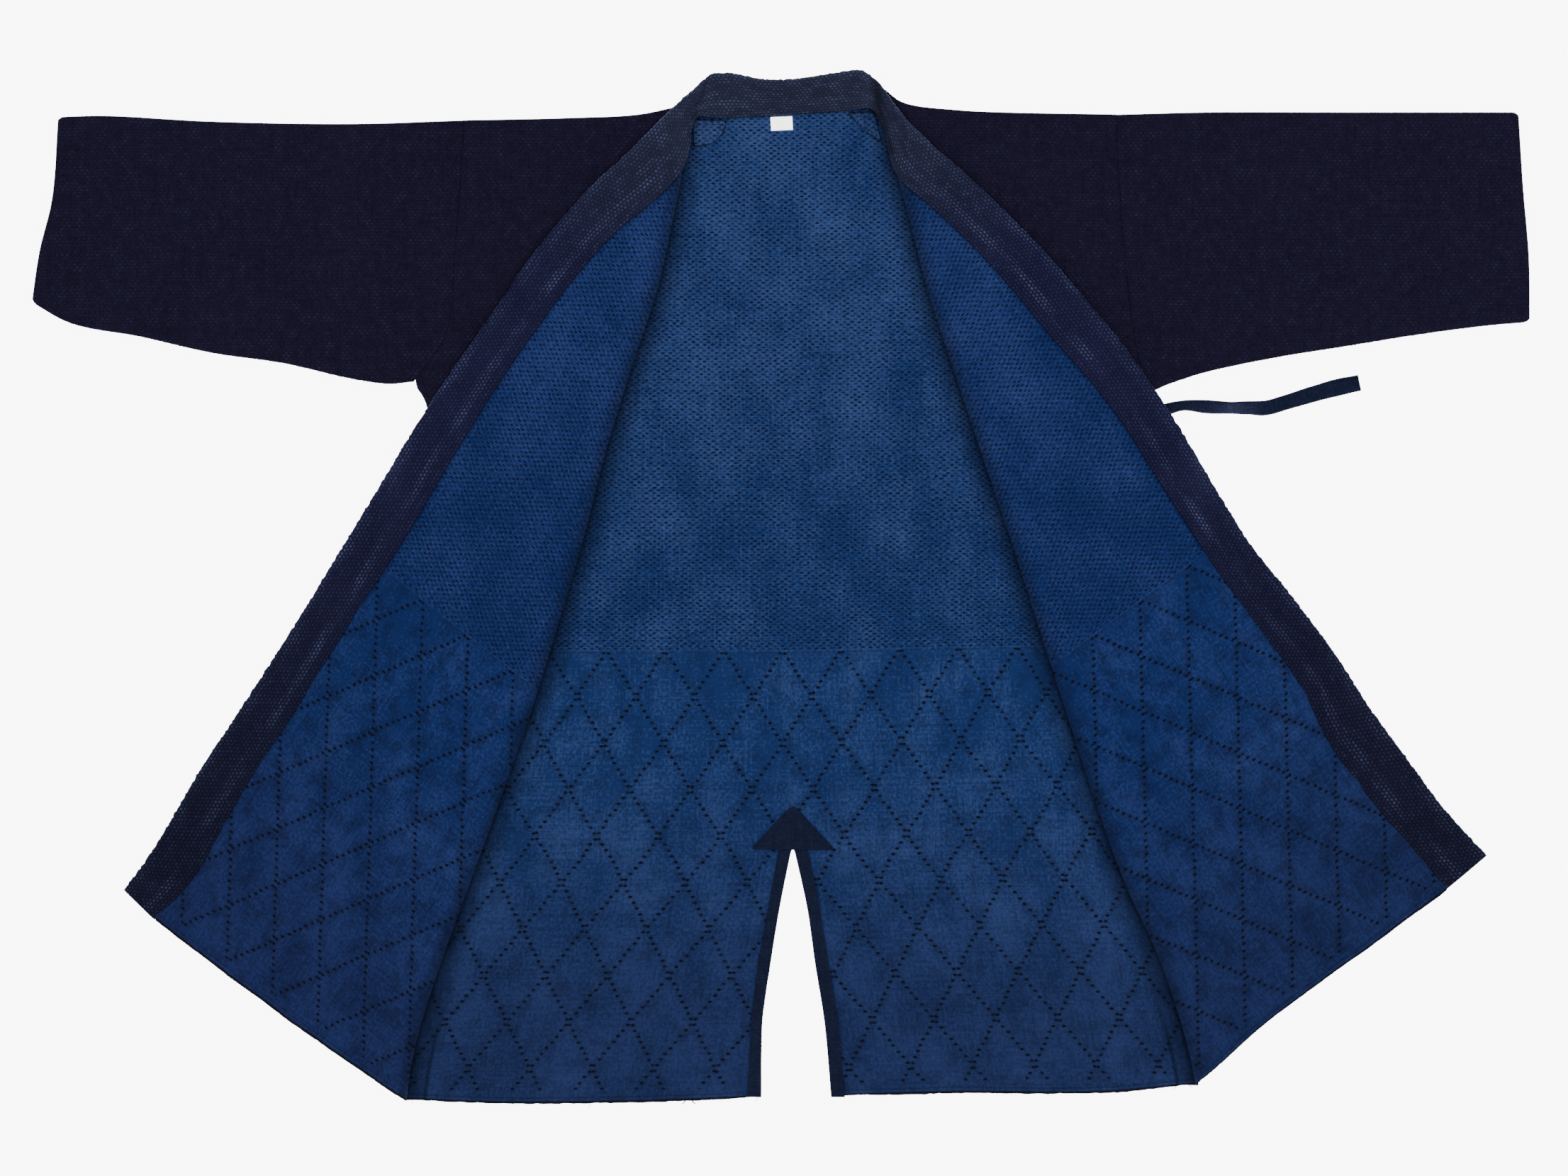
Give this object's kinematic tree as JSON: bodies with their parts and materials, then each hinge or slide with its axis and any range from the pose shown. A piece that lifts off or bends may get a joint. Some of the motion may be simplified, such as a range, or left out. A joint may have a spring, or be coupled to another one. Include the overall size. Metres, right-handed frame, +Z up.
{
  "type": "sashiko jacket laid open flat",
  "caption": "Sashiko stitched indigo cotton jacket laid open flat, inside up, with straight sleeves, a long collar band, a side tie and a vent in the back hem.",
  "frame": {"origin": "on the underside of the back, at the middle of the laid out jacket", "axes": "+Z up from the surface it lies on, +Y towards the neck, +X to the right seen from above"},
  "size_m": [1.308, 0.9032, 0.0112],
  "materials": {
    "indigo_inside": "matt indigo cotton, rice stitched above and diamond quilted below",
    "indigo_faded": "matt faded indigo cotton",
    "navy_outside": "matt dark indigo cotton with a fine stitched grain",
    "navy_collar": "dark indigo cotton with rows of worn stitches",
    "navy_trim": "plain dark navy cotton",
    "white_label": "bare white woven tape"
  },
  "bodies": {
    "root": {"back": "indigo_inside", "front_left": "indigo_inside", "front_right": "indigo_inside", "sleeve_left": "navy_outside", "sleeve_right": "navy_outside", "collar": "navy_collar", "tie_right": "navy_trim", "vent_binding_left": "navy_trim", "vent_binding_right": "navy_trim", "vent_patch": "navy_trim", "neck_patch_left": "indigo_faded", "neck_patch_right": "indigo_faded", "neck_label": "white_label"}
  },
  "joints": []
}
